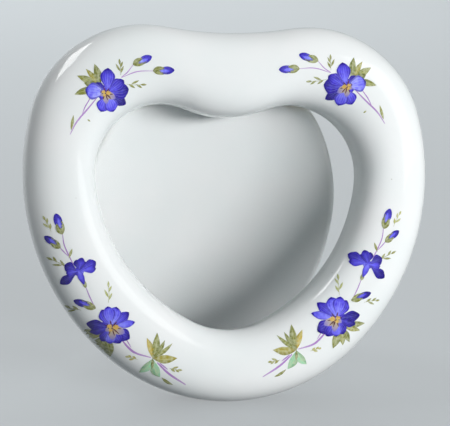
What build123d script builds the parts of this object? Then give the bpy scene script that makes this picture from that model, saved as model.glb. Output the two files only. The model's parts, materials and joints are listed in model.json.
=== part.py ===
"""Heart shaped photo frame of white glazed porcelain on a hinged porcelain easel leg.

+Z is up and the table is the plane Z = 0. The frame faces -Y and leans back, its halves mirror
each other across X = 0, and the origin is the middle of the flat that is ground under the ring.
Sizes are millimetres and angles are degrees.
"""
import os
from math import atan2, cos, degrees, radians, sin, sqrt

from build123d import *

os.makedirs("parts", exist_ok=True)

# Stance on the table
ring_lean = 15.0
leg_lean = 15.0
foot_cut = 0.9

# Outer outline of the ring, measured up from its rounded tip
outer_lobe_x = 27.4
outer_lobe_radius = 37.15
outer_height = 120.2
outer_side_radius = 77.7
outer_tip_radius = 59.4
outer_dip = 2.4

# Outline of the window, set by the ring's width under it and over its lobes
band_bottom = 22.95
band_top = 25.05
window_lobe_x = 21.15
window_lobe_radius = 22.4
window_side_radius = 56.2
window_tip_radius = 27.0
window_dip = 4.2

# Section of the hollow ring
ring_crest = 1.6
ring_rim = 3.3
back_round = 4.0
ring_wall = 3.5
back_wall = 5.5
vent_radius = 2.0

# Clear cover in the rabbet behind the window
rabbet_width = 4.0
cover_thickness = 1.5
print_space = 0.5
cover_clearance = 0.4

# Turn buttons that hold the cover in, and the studs they turn on
button_width = 6.0
button_thickness = 1.0
button_overlap = 3.0
button_edge = 6.0
button_upper_angle = 20.0
button_lower_angle = -28.0
stud_radius = 1.2
stud_depth = 3.4
stud_head_radius = 2.4
stud_head_height = 0.9

# Hinge at the back of the ring
hinge_drop = 18.3
hinge_gap = 7.2
pin_radius = 1.5
barrel_radius = 4.0
barrel_half = 21.0
washer_thickness = 0.6
ear_thickness = 2.0
ear_radius = 3.8
plate_thickness = 1.5
plate_width = 15.0
plate_height = 12.0
plate_corner = 2.0
plate_drop = 2.1
peg_radius = 1.7
peg_length = 3.2
peg_spacing = 6.5
pin_head_radius = 2.7
pin_head_height = 1.4
pin_cap_height = 3.2
pin_tail = 2.2

# Concave easel leg
leg_half = 43.5
leg_widest_drop = 45.0
leg_lower_semi = 66.0
leg_thickness = 4.5
leg_hollow_radius = 140.0
leg_face = 1.5
leg_edge = 1.9
notch_drop = 5.4

# Felt pad that stops the leg
pad_thickness = 1.0
pad_width = 26.0
pad_height = 5.0
pad_corner = 2.0

# Clearances
running = 0.06
play = 0.3
glue = 0.1
slide_gap = 0.2


def side_centre(lobe, lobe_radius, side_radius, tip, tip_radius):
    """Give the centre of the right side arc, which is tangent inside to the lobe and the tip."""
    to_tip = tip - lobe
    span = to_tip.length
    line = to_tip.normalized()
    reach = side_radius - lobe_radius
    along = (reach**2 - (side_radius - tip_radius) ** 2 + span**2) / (2 * span)
    across = sqrt(reach**2 - along**2)
    return lobe + line * along + Vector(line.Y, -line.X) * across


def heart(lobe, lobe_radius, side, side_radius, tip, tip_radius, dip, grow):
    """Make a heart face of tangent arcs about the Y axis, its edge moved out by grow."""
    dip_level = lobe_radius - dip
    notch_radius = (lobe.X**2 + dip_level**2 - lobe_radius**2) / (2 * dip)
    notch = Vector(0, lobe.Y + dip_level + notch_radius)
    tip_end = degrees(atan2(tip.Y - side.Y, tip.X - side.X))
    lobe_start = degrees(atan2(lobe.Y - side.Y, lobe.X - side.X))
    lobe_end = degrees(atan2(notch.Y - lobe.Y, notch.X - lobe.X))
    with BuildSketch() as face:
        with BuildLine():
            CenterArc(tip, tip_radius + grow, -90, tip_end + 90)
            CenterArc(side, side_radius + grow, tip_end, lobe_start - tip_end)
            CenterArc(lobe, lobe_radius + grow, lobe_start, lobe_end - lobe_start)
            CenterArc(notch, notch_radius - grow, lobe_end - 180, 90 - lobe_end)
            mirror(about=Plane.YZ)
        make_face()
    return face.sketch


# Arc centres of the two outlines
outer_lobe = Vector(outer_lobe_x, outer_height - outer_lobe_radius)
outer_tip = Vector(0, outer_tip_radius)
outer_side = side_centre(outer_lobe, outer_lobe_radius, outer_side_radius, outer_tip, outer_tip_radius)
window_lobe = Vector(window_lobe_x, outer_height - band_top - window_lobe_radius)
window_tip = Vector(0, band_bottom + window_tip_radius)
window_side = side_centre(window_lobe, window_lobe_radius, window_side_radius, window_tip, window_tip_radius)


def outer_heart(grow):
    """Make the ring's outer outline, moved out by grow."""
    return heart(outer_lobe, outer_lobe_radius, outer_side, outer_side_radius, outer_tip,
                 outer_tip_radius, outer_dip, grow)


def window_heart(grow):
    """Make the window's outline, moved out by grow."""
    return heart(window_lobe, window_lobe_radius, window_side, window_side_radius, window_tip,
                 window_tip_radius, window_dip, grow)


# The ring's own plane: X across, Y up along the leaning ring, Z out of its front
ring_sine = sin(radians(ring_lean))
ring_cosine = cos(radians(ring_lean))
ring_foot_y = back_round * (ring_cosine - ring_sine)
ring_foot_z = back_round * (1 - ring_cosine - ring_sine) - foot_cut
ring_plane = Plane(origin=(0, ring_foot_y, ring_foot_z), x_dir=(1, 0, 0),
                   z_dir=(0, -ring_cosine, ring_sine))
ring_front = Axis(ring_plane.origin, ring_plane.z_dir)

outer_half = outer_side.X + outer_side_radius
window_half = window_side.X + window_side_radius
ring_band = min(outer_half - window_half, band_bottom, band_top)
front_round = (ring_band - ring_crest) / 2
ring_depth = front_round + ring_rim + back_round
rabbet_depth = cover_thickness + print_space

# Turn buttons point square at the window's edge, one pair at the lobes and one lower down
stud_reach = rabbet_width + button_edge


def stud_plane(sign, centre, radius, angle):
    """Give the plane of a stud on the ring's back: X towards the window, Z out of the back."""
    outward = Vector(cos(radians(angle)), sin(radians(angle)))
    spot = centre + outward * (radius + stud_reach)
    inward = ring_plane.x_dir * (-sign * outward.X) - ring_plane.y_dir * outward.Y
    origin = ring_plane.from_local_coords((sign * spot.X, spot.Y, 0))
    return Plane(origin=origin, x_dir=inward, z_dir=-ring_plane.z_dir)


stud_planes = {
    "upper_left": stud_plane(-1, window_lobe, window_lobe_radius, button_upper_angle),
    "upper_right": stud_plane(1, window_lobe, window_lobe_radius, button_upper_angle),
    "lower_left": stud_plane(-1, window_side, window_side_radius, button_lower_angle),
    "lower_right": stud_plane(1, window_side, window_side_radius, button_lower_angle),
}

# Hinge line and the plane of the open leg: X across, Y up along the leg, Z towards the ring
hinge_rise = outer_height - hinge_drop
hinge = ring_plane.from_local_coords((0, hinge_rise, -hinge_gap))
leg_sine = sin(radians(leg_lean))
leg_cosine = cos(radians(leg_lean))
leg_plane = Plane(origin=hinge, x_dir=(1, 0, 0), z_dir=(0, -leg_cosine, -leg_sine))
spread_sine = sin(radians(ring_lean + leg_lean))
spread_cosine = cos(radians(ring_lean + leg_lean))
washer_start = barrel_half + play
ear_start = washer_start + washer_thickness
ear_end = ear_start + ear_thickness


def hinge_plane(x):
    """Give a plane square to the hinge line at x, its centre on the line and Z along +X."""
    return Plane(origin=(x, hinge.Y, hinge.Z), x_dir=(0, 1, 0), z_dir=(1, 0, 0))


# Brackets sit on the ring's back beside the hinge
plate_centre = Vector(ear_start + plate_width / 2, hinge_rise - plate_drop + plate_height / 2)
peg_spots = [(plate_centre.X + shift, plate_centre.Y) for shift in (-peg_spacing / 2, peg_spacing / 2)]

# The leg's heel meets the felt pad when the leg stands open
heel_centre_z = leg_face - leg_edge
heel_centre_y = (hinge_gap - heel_centre_z * spread_cosine - leg_edge - pad_thickness - play) / spread_sine
leg_heel = heel_centre_y + leg_edge
pad_rise = hinge_rise + heel_centre_y * spread_cosine - heel_centre_z * spread_sine
leg_length = hinge.Z / leg_cosine

# Hollow inside the ring, left by the poured slip
with BuildPart() as hollow:
    with BuildSketch(ring_plane.offset(back_wall)):
        add(outer_heart(-ring_wall))
        add(window_heart(ring_wall), mode=Mode.SUBTRACT)
    extrude(amount=ring_depth - ring_wall - back_wall)
    hollow_front = hollow.faces().sort_by(ring_front)[-1]
    fillet(hollow_front.edges(), front_round - ring_wall)

# Porcelain ring: fat rounded front, flat back, rabbet, sockets, vent and ground foot
with BuildPart() as ring:
    with BuildSketch(ring_plane):
        add(outer_heart(0))
        add(window_heart(0), mode=Mode.SUBTRACT)
    extrude(amount=ring_depth)
    front_edges = ring.faces().sort_by(ring_front)[-1].edges()
    fillet(front_edges, front_round)
    back_edges = ring.faces().sort_by(ring_front)[0].outer_wire().edges()
    fillet(back_edges, back_round)
    add(hollow.part, mode=Mode.SUBTRACT)
    with BuildSketch(ring_plane):
        add(window_heart(rabbet_width))
    extrude(amount=rabbet_depth, mode=Mode.SUBTRACT)
    with BuildSketch(ring_plane):
        with Locations((0, band_bottom / 2)):
            Circle(vent_radius)
    extrude(amount=back_wall + ring_wall, mode=Mode.SUBTRACT)
    with BuildSketch(ring_plane):
        with Locations(*peg_spots, *[(-x, y) for x, y in peg_spots]):
            Circle(peg_radius + glue)
    extrude(amount=peg_length + glue, mode=Mode.SUBTRACT)
    for plane in stud_planes.values():
        with BuildSketch(plane):
            Circle(stud_radius + glue)
        extrude(amount=-stud_depth, mode=Mode.SUBTRACT)
    split(bisect_by=Plane.XY, keep=Keep.TOP)
ring.part.label = "heart_ring"
export_step(ring.part, "parts/heart_ring.step")

# Porcelain leg: a concave oval plate with a bored barrel across it and a ground foot
with BuildPart() as leg:
    leg_top = leg_plane.from_local_coords((0, leg_heel + leg_thickness, 0))
    with BuildSketch(Plane(origin=leg_top, x_dir=(1, 0, 0), z_dir=-leg_plane.y_dir)):
        with Locations((0, leg_face + leg_hollow_radius)):
            Circle(leg_hollow_radius + leg_thickness)
            Circle(leg_hollow_radius, mode=Mode.SUBTRACT)
        Rectangle(2 * leg_half + leg_thickness, leg_half, mode=Mode.INTERSECT)
    extrude(amount=leg_length + leg_heel + 4 * leg_thickness)
    with BuildSketch(leg_plane):
        with BuildLine():
            widest = (0, -leg_widest_drop)
            EllipticalCenterArc(widest, leg_half, leg_widest_drop + leg_heel, start_angle=0, arc_size=180)
            EllipticalCenterArc(widest, leg_half, leg_lower_semi, start_angle=180, arc_size=180)
        make_face()
    extrude(amount=leg_half, both=True, mode=Mode.INTERSECT)
    broad_faces = leg.faces().sort_by(SortBy.AREA)[-2:]
    fillet(broad_faces[0].edges() + broad_faces[1].edges(), leg_edge)
    with BuildSketch(leg_plane):
        with Locations((barrel_half + leg_half / 2, leg_half / 2 - notch_drop),
                       (-barrel_half - leg_half / 2, leg_half / 2 - notch_drop)):
            Rectangle(leg_half, leg_half)
    extrude(amount=leg_half, both=True, mode=Mode.SUBTRACT)
    with BuildSketch(hinge_plane(-barrel_half)):
        Circle(barrel_radius)
    extrude(amount=2 * barrel_half)
    with BuildSketch(hinge_plane(-barrel_half)):
        Circle(pin_radius + running)
    extrude(amount=2 * barrel_half, mode=Mode.SUBTRACT)
    split(bisect_by=Plane.XY, keep=Keep.TOP)
leg.part.label = "easel_leg"
export_step(leg.part, "parts/easel_leg.step")

# Brass bracket: a plate on the ring's back with two pegs and an ear for the pin
with BuildPart() as bracket_right:
    with BuildSketch(ring_plane.offset(-plate_thickness)):
        with Locations(plate_centre):
            RectangleRounded(plate_width, plate_height, plate_corner)
    extrude(amount=plate_thickness)
    with BuildSketch(ring_plane):
        with Locations(*peg_spots):
            Circle(peg_radius)
    extrude(amount=peg_length)
    ear_origin = ring_plane.from_local_coords((ear_start, 0, 0))
    with BuildSketch(Plane(origin=ear_origin, x_dir=ring_plane.y_dir, z_dir=(1, 0, 0))):
        with Locations((hinge_rise, -hinge_gap)):
            Circle(ear_radius)
        with Locations((plate_centre.Y, -plate_thickness / 2)):
            Rectangle(plate_height - 2 * plate_corner, plate_thickness)
        make_hull()
    extrude(amount=ear_thickness)
    with BuildSketch(hinge_plane(ear_start)):
        Circle(pin_radius + running)
    extrude(amount=ear_thickness, mode=Mode.SUBTRACT)
bracket_right.part.label = "hinge_bracket_right"
export_step(bracket_right.part, "parts/hinge_bracket_right.step")

with BuildPart() as bracket_left:
    mirror(bracket_right.part, about=Plane.YZ)
bracket_left.part.label = "hinge_bracket_left"
export_step(bracket_left.part, "parts/hinge_bracket_left.step")

# Brass pin with a flat head at its left end
with BuildPart() as pin:
    with BuildSketch(hinge_plane(-ear_end)):
        Circle(pin_radius)
    extrude(amount=2 * ear_end + pin_tail)
    with BuildSketch(hinge_plane(-ear_end)):
        Circle(pin_head_radius)
    extrude(amount=-pin_head_height)
    fillet(pin.faces().sort_by(Axis.X)[0].edges(), pin_head_height / 2)
pin.part.label = "hinge_pin"
export_step(pin.part, "parts/hinge_pin.step")

# Brass cap pushed over the pin's right end
with BuildPart() as cap:
    with BuildSketch(hinge_plane(ear_end)):
        Circle(pin_head_radius)
    extrude(amount=pin_cap_height)
    fillet(cap.faces().sort_by(Axis.X)[-1].edges(), pin_head_height / 2)
    with BuildSketch(hinge_plane(ear_end)):
        Circle(pin_radius + running)
    extrude(amount=pin_tail, mode=Mode.SUBTRACT)
cap.part.label = "pin_cap"
export_step(cap.part, "parts/pin_cap.step")

# Fibre washers between the brass ears and the porcelain barrel
with BuildPart() as washers:
    for start in (washer_start, -ear_start):
        with BuildSketch(hinge_plane(start)):
            Circle(barrel_radius)
            Circle(pin_radius + running, mode=Mode.SUBTRACT)
        extrude(amount=washer_thickness)
washers.part.label = "hinge_washers"
export_step(washers.part, "parts/hinge_washers.step")

# Felt pad glued to the ring's back where the leg's heel stops
with BuildPart() as pad:
    with BuildSketch(ring_plane):
        with Locations((0, pad_rise)):
            RectangleRounded(pad_width, pad_height, pad_corner)
    extrude(amount=-pad_thickness)
pad.part.label = "stop_pad"
export_step(pad.part, "parts/stop_pad.step")

# Clear cover resting on the rabbet's shoulder
with BuildPart() as cover:
    with BuildSketch(ring_plane.offset(print_space)):
        add(window_heart(rabbet_width - cover_clearance))
    extrude(amount=cover_thickness)
cover.part.label = "cover_sheet"
export_step(cover.part, "parts/cover_sheet.step")

# Brass turn buttons
button_reach = button_edge + button_overlap
button_length = button_reach + button_width / 2
for place, plane in stud_planes.items():
    with BuildPart() as button:
        with BuildSketch(plane.offset(slide_gap)):
            with Locations(((button_reach - button_width / 2) / 2, 0)):
                SlotOverall(button_length, button_width)
            Circle(stud_radius + running, mode=Mode.SUBTRACT)
        extrude(amount=button_thickness)
    button.part.label = "turn_button_" + place
    export_step(button.part, "parts/turn_button_" + place + ".step")

# Brass studs cemented in the ring's sockets
with BuildPart() as studs:
    for plane in stud_planes.values():
        with BuildSketch(plane.offset(-stud_depth)):
            Circle(stud_radius)
        extrude(amount=stud_depth + button_thickness + 2 * slide_gap)
        with BuildSketch(plane.offset(button_thickness + 2 * slide_gap)):
            Circle(stud_head_radius)
        extrude(amount=stud_head_height)
studs.part.label = "button_studs"
export_step(studs.part, "parts/button_studs.step")
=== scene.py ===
import json
import math

import bmesh
import bpy
from mathutils import Matrix, Vector, noise


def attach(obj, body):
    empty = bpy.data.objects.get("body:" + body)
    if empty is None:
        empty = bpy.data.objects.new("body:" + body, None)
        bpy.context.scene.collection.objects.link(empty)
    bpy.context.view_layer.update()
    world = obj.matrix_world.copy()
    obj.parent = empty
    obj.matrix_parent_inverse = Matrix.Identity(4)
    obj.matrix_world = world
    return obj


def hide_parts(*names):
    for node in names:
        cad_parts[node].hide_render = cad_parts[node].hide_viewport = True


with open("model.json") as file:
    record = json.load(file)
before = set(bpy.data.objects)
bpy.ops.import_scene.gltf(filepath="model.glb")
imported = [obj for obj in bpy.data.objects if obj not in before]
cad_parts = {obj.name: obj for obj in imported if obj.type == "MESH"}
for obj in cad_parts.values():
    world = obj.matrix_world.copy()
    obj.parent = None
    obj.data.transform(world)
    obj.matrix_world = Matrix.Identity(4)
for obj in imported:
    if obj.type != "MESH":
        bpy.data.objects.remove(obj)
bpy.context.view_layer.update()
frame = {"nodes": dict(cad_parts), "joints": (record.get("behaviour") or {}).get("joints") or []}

# Heart ring
# The body of the frame: a fat hollow ring slip-cast in white porcelain, dipped in clear glaze and
# fired. Its back is flat, with a rabbet round the window, and its lowest point is ground flat.
mm = 0.001
ring_lean = math.radians(15)
ring_back_round = 4.0 * mm
ring_foot_cut = 0.9 * mm
ring_rim = 3.3 * mm
ring_crown = 10.2 * mm
ring_fullness = 2.25
rabbet_width = 4.0 * mm
rabbet_depth = 2.0 * mm
glaze_edge = 0.5 * mm
vent_radius = 2.0 * mm
vent_rise = 11.475 * mm
vent_depth = 8.0 * mm
outer_heart = dict(lobe_x=27.4 * mm, lobe_radius=37.15 * mm, top=120.2 * mm, side_radius=77.7 * mm,
                   tip_radius=59.4 * mm, dip=2.4 * mm, tip_z=0.0)
window_heart = dict(lobe_x=21.15 * mm, lobe_radius=22.4 * mm, top=95.15 * mm, side_radius=56.2 * mm,
                    tip_radius=27.0 * mm, dip=4.2 * mm, tip_z=22.95 * mm)
heart_easing = 24
same_point = 0.0001 * mm

lean_sine = math.sin(ring_lean)
lean_cosine = math.cos(ring_lean)
ring_y = ring_back_round * (lean_cosine - lean_sine)
ring_z = ring_back_round * (1 - lean_cosine - lean_sine) - ring_foot_cut
ring_place = Matrix(((1, 0, 0, 0), (0, lean_sine, -lean_cosine, ring_y),
                     (0, lean_cosine, lean_sine, ring_z), (0, 0, 0, 1)))


def eased(points, passes):
    """Soften a closed outline by drawing each point towards its neighbours a number of times."""
    for _ in range(passes):
        points = [(points[i - 1] + 2 * points[i] + points[(i + 1) % len(points)]) / 4
                  for i in range(len(points))]
    return points


def heart_outline(lobe_x, lobe_radius, top, side_radius, tip_radius, dip, tip_z, grow=0.0):
    """Give the points of a heart of tangent arcs, from its tip round to the right, and their normals."""
    lobe = Vector((lobe_x, top - lobe_radius))
    tip = Vector((0, tip_z + tip_radius))
    level = lobe_radius - dip
    notch_radius = (lobe_x**2 + level**2 - lobe_radius**2) / (2 * dip)
    notch = Vector((0, lobe.y + level + notch_radius))
    span = (tip - lobe).length
    line = (tip - lobe) / span
    reach = side_radius - lobe_radius
    along = (reach**2 - (side_radius - tip_radius)**2 + span**2) / (2 * span)
    across = math.sqrt(reach**2 - along**2)
    side = lobe + line * along + Vector((line.y, -line.x)) * across
    tip_end = math.atan2(tip.y - side.y, tip.x - side.x)
    lobe_start = math.atan2(lobe.y - side.y, lobe.x - side.x)
    lobe_end = math.atan2(notch.y - lobe.y, notch.x - lobe.x)
    short_steps = 36
    long_steps = 64
    arcs = ((tip, tip_radius + grow, -math.pi / 2, tip_end, short_steps),
            (side, side_radius + grow, tip_end, lobe_start, long_steps),
            (lobe, lobe_radius + grow, lobe_start, lobe_end, long_steps),
            (notch, notch_radius - grow, lobe_end - math.pi, -math.pi / 2, short_steps))
    half = []
    for centre, radius, start, end, count in arcs:
        for k in range(count):
            angle = start + (end - start) * k / count
            half.append(centre + radius * Vector((math.cos(angle), math.sin(angle))))
    bottom = notch.y - notch_radius + grow
    points = half + [Vector((0, bottom))] + [Vector((-p.x, p.y)) for p in reversed(half[1:])]
    points = eased(points, heart_easing)
    normals = []
    for i in range(len(points)):
        run = points[(i + 1) % len(points)] - points[i - 1]
        normals.append(Vector((run.y, -run.x)).normalized())
    return points, normals


def ring_section(outer, outward, inner, inward):
    """Give one closed section of the ring, from the outer rim over the crown and round the back."""
    rim_low = ring_back_round
    rim_high = ring_back_round + ring_rim
    spots = []
    crown_steps = 36
    for k in range(crown_steps + 1):
        angle = math.pi * k / crown_steps
        side = math.copysign(abs(math.cos(angle))**(2 / ring_fullness), math.cos(angle))
        rise = math.sin(angle)**(2 / ring_fullness)
        flat = (outer + inner) / 2 + (outer - inner) / 2 * side
        spots.append((flat, rim_high + ring_crown * rise))
    wall_steps = 5
    for k in range(1, wall_steps + 1):
        fall = (rim_high - rabbet_depth - glaze_edge) * k / wall_steps
        spots.append((inner, rim_high - fall))
    round_middle = 0.3 * glaze_edge
    for width, depth in ((glaze_edge, rabbet_depth), (rabbet_width - glaze_edge / 2, rabbet_depth),
                         (rabbet_width, rabbet_depth - glaze_edge / 2), (rabbet_width, glaze_edge),
                         (rabbet_width + round_middle, round_middle), (rabbet_width + glaze_edge, 0.0)):
        spots.append((inner + inward * width, depth))
    back_inner = inner + inward * (rabbet_width + 2 * glaze_edge)
    back_outer = outer - outward * ring_back_round
    back_steps = 6
    for k in range(back_steps + 1):
        spots.append((back_inner.lerp(back_outer, k / back_steps), 0.0))
    round_steps = 8
    for k in range(1, round_steps + 1):
        angle = math.pi / 2 * k / round_steps
        flat = back_outer + outward * ring_back_round * math.sin(angle)
        spots.append((flat, rim_low - ring_back_round * math.cos(angle)))
    spots.append((outer, (rim_low + rim_high) / 2))
    return [Vector((flat.x, flat.y, depth)) for flat, depth in spots]


def mesh_of(form, name):
    """Turn a form that is being worked on into a plain mesh."""
    mesh = bpy.data.meshes.new(name)
    form.to_mesh(mesh)
    form.free()
    return mesh


def glazed_mesh(form, name):
    """Cut a form off at the table and make it a mesh, glazed all over but for the flat ground there."""
    parts = form.verts[:] + form.edges[:] + form.faces[:]
    cut = bmesh.ops.bisect_plane(form, geom=parts, plane_co=(0, 0, 0), plane_no=(0, 0, 1),
                                 clear_inner=True, dist=same_point)
    rim = [edge for edge in cut["geom_cut"] if isinstance(edge, bmesh.types.BMEdge)]
    ground = bmesh.ops.triangle_fill(form, edges=rim, use_beauty=True, normal=(0, 0, -1))
    for face in ground["geom"]:
        if isinstance(face, bmesh.types.BMFace):
            face.material_index = 1
    mesh = mesh_of(form, name)
    for porcelain in (glazed_porcelain, ground_porcelain):
        mesh.materials.append(porcelain)
    return mesh


def round_bar(radius, start, end, place):
    """Make a closed round bar along the Z axis of a place."""
    bar = bmesh.new()
    middle = place @ Matrix.Translation((0, 0, (start + end) / 2))
    bmesh.ops.create_cone(bar, cap_ends=True, segments=48, radius1=radius, radius2=radius,
                          depth=end - start, matrix=middle)
    return mesh_of(bar, "bar")


def applied(name, shape, kind=None, inputs=None, **settings):
    """Put a mesh or curve through one modifier, or none, and give the plain mesh; inputs go by identifier."""
    holder = bpy.data.objects.new(name, shape)
    bpy.context.scene.collection.objects.link(holder)
    if kind:
        modifier = holder.modifiers.new(name, kind)
        for key, value in settings.items():
            setattr(modifier, key, value)
        for key, value in (inputs or {}).items():
            modifier[key] = value
    bpy.context.view_layer.update()
    mesh = bpy.data.meshes.new_from_object(holder.evaluated_get(bpy.context.evaluated_depsgraph_get()))
    bpy.data.objects.remove(holder)
    mesh.name = name
    return mesh


def combine(mesh, other, operation):
    """Join a second closed mesh to the first, or cut it away."""
    second = bpy.data.objects.new("second", other)
    bpy.context.scene.collection.objects.link(second)
    result = applied("combined", mesh, "BOOLEAN", operation=operation, solver="EXACT", object=second)
    bpy.data.objects.remove(second)
    return result


def new_piece(name, mesh, material, rides, replaces=None, smooth_angle=40):
    """Make a smoothly shaded piece of a mesh, that rides on a body and may stand for a node."""
    mesh.name = name
    piece = bpy.data.objects.new(name, mesh)
    bpy.context.scene.collection.objects.link(piece)
    if material.name not in mesh.materials:
        mesh.materials.append(material)
    mesh.polygons.foreach_set("use_smooth", [True] * len(mesh.polygons))
    mesh.set_sharp_from_angle(angle=math.radians(smooth_angle))
    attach(piece, rides)
    if replaces:
        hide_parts(replaces)
    return piece


def linear(colour):
    """Turn an sRGB hex colour into the linear RGBA that the shaders take."""
    channels = [int(colour[i:i + 2], 16) / 255 for i in (1, 3, 5)]
    return tuple(c / 12.92 if c <= 0.04045 else ((c + 0.055) / 1.055)**2.4 for c in channels) + (1.0,)


def put(tree, kind, inputs=None, **settings):
    """Add a node, set its properties, and set or link its inputs; a node stands for its first output."""
    node = tree.nodes.new(kind)
    for key, value in settings.items():
        setattr(node, key, value)
    for key, value in (inputs or {}).items():
        if isinstance(value, bpy.types.Node):
            value = value.outputs[0]
        if isinstance(value, bpy.types.NodeSocket):
            tree.links.new(value, node.inputs[key])
        else:
            node.inputs[key].default_value = value
    return node


def new_material(name):
    """Start an empty material: give it, its node tree and its Object coordinates."""
    material = bpy.data.materials.new(name)
    material.use_nodes = True
    tree = material.node_tree
    tree.nodes.clear()
    return material, tree, put(tree, "ShaderNodeTexCoord").outputs["Object"]


def set_ramp(node, *stops):
    """Set a colour ramp's stops, each a place and an sRGB hex colour."""
    ramp = node.color_ramp
    while len(ramp.elements) < len(stops):
        ramp.elements.new(0.5)
    for element, (place, colour) in zip(ramp.elements, stops):
        element.position = place
        element.color = linear(colour)


# White porcelain under a clear glaze: a bright, very slightly cool body with a wet gloss. The glaze
# lies a little unevenly, so its reflections waver over about 9 mm, and it holds the odd dark speck.
glazed_porcelain, tree, spots = new_material("white porcelain, clear gloss glaze")
pooling = put(tree, "ShaderNodeTexNoise", {"Vector": spots, "Scale": 1 / (22 * mm), "Detail": 2.0})
body_colour = put(tree, "ShaderNodeValToRGB", {"Fac": pooling})
set_ramp(body_colour, (0.3, "#EBF0F0"), (0.7, "#F1F3F3"))
speck_cells = put(tree, "ShaderNodeTexVoronoi", {"Vector": spots, "Scale": 1 / (9 * mm)})
speck = put(tree, "ShaderNodeValToRGB", {"Fac": speck_cells})
set_ramp(speck, (0.012, "#B9B3A4"), (0.02, "#FFFFFF"))
speckled = put(tree, "ShaderNodeMix", {0: 1.0, 6: body_colour, 7: speck},
               data_type="RGBA", blend_type="MULTIPLY").outputs[2]
glaze_wave = put(tree, "ShaderNodeTexNoise", {"Vector": spots, "Scale": 1 / (9 * mm), "Detail": 1.0})
glaze_bump = put(tree, "ShaderNodeBump", {"Height": glaze_wave, "Strength": 0.06, "Distance": 0.25 * mm})
gloss = put(tree, "ShaderNodeMapRange", {"Value": pooling, "To Min": 0.03, "To Max": 0.06})
shader = put(tree, "ShaderNodeBsdfPrincipled", {"Base Color": speckled, "IOR": 1.52, "Roughness": gloss,
                                                "Normal": glaze_bump})
put(tree, "ShaderNodeOutputMaterial", {"Surface": shader})

# Bare porcelain where the foot was ground: chalky, slightly warmer and without any shine.
ground_porcelain, tree, spots = new_material("ground bare porcelain")
grit = put(tree, "ShaderNodeTexNoise", {"Vector": spots, "Scale": 1 / (0.4 * mm), "Detail": 4.0})
chalk = put(tree, "ShaderNodeValToRGB", {"Fac": grit})
set_ramp(chalk, (0.3, "#CFC9BC"), (0.7, "#E2DDD2"))
grit_bump = put(tree, "ShaderNodeBump", {"Height": grit, "Strength": 0.4, "Distance": 0.05 * mm})
shader = put(tree, "ShaderNodeBsdfPrincipled", {"Base Color": chalk, "Roughness": 0.85,
                                                "Normal": grit_bump})
put(tree, "ShaderNodeOutputMaterial", {"Surface": shader})

outer_points, outer_normals = heart_outline(**outer_heart)
window_points, window_normals = heart_outline(**window_heart)
form = bmesh.new()
rows = []
for across_ring in zip(outer_points, outer_normals, window_points, window_normals):
    rows.append([form.verts.new(spot) for spot in ring_section(*across_ring)])
for i, row in enumerate(rows):
    ahead = rows[(i + 1) % len(rows)]
    for j in range(len(row)):
        k = (j + 1) % len(row)
        form.faces.new((row[j], row[k], ahead[k], ahead[j]))
bmesh.ops.recalc_face_normals(form, faces=form.faces)
bmesh.ops.transform(form, matrix=ring_place, verts=form.verts)
vent_place = ring_place @ Matrix.Translation((0, vent_rise, 0))
vent_bar = round_bar(vent_radius, -vent_radius, vent_depth, vent_place)
ring_mesh = combine(glazed_mesh(form, "heart_ring_solid"), vent_bar, "DIFFERENCE")
ring = new_piece("heart_ring_glazed", ring_mesh, glazed_porcelain, rides="frame",
                 replaces="heart_ring")

# Flower sprays
# Four sprays of violet flowers, two over the window and two beside its tip. Each is a printed enamel
# transfer, laid by hand on the glazed ring and fired in; every enamel colour is a layer of its own.
flat_height = 40.0 * mm
enamel_lift = 0.03 * mm
enamel_layer = 0.012 * mm
first_layer = {"stems": 0, "leaves": 1, "petals": 3, "centres": 3}
drawings = {}
for colour in first_layer:
    drawings[colour] = bmesh.new()
    drawings[colour].verts.layers.float.new("tone")
    drawings[colour].verts.layers.float.new("layer")
    drawings[colour].loops.layers.uv.new("UVMap")


def draw_grid(colour, rows, tone, layer):
    """Add a grid of points to one colour's flat drawing, with its UV running along and across it."""
    drawing = drawings[colour]
    tone_layer = drawing.verts.layers.float["tone"]
    order_layer = drawing.verts.layers.float["layer"]
    uv_layer = drawing.loops.layers.uv["UVMap"]
    grid = []
    for row in rows:
        line = []
        for point in row:
            spot = drawing.verts.new((point.x, point.y, flat_height))
            spot[tone_layer] = tone
            spot[order_layer] = layer
            line.append(spot)
        grid.append(line)
    for i in range(len(grid) - 1):
        for j in range(len(grid[0]) - 1):
            corners = ((i, j), (i, j + 1), (i + 1, j + 1), (i + 1, j))
            face = drawing.faces.new([grid[a][b] for a, b in corners])
            for loop, (a, b) in zip(face.loops, corners):
                loop[uv_layer].uv = (a / (len(grid) - 1), b / (len(grid[0]) - 1))


def heading(angle):
    """Give the unit vector that points at an angle in degrees."""
    return Vector((math.cos(math.radians(angle)), math.sin(math.radians(angle))))


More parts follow.
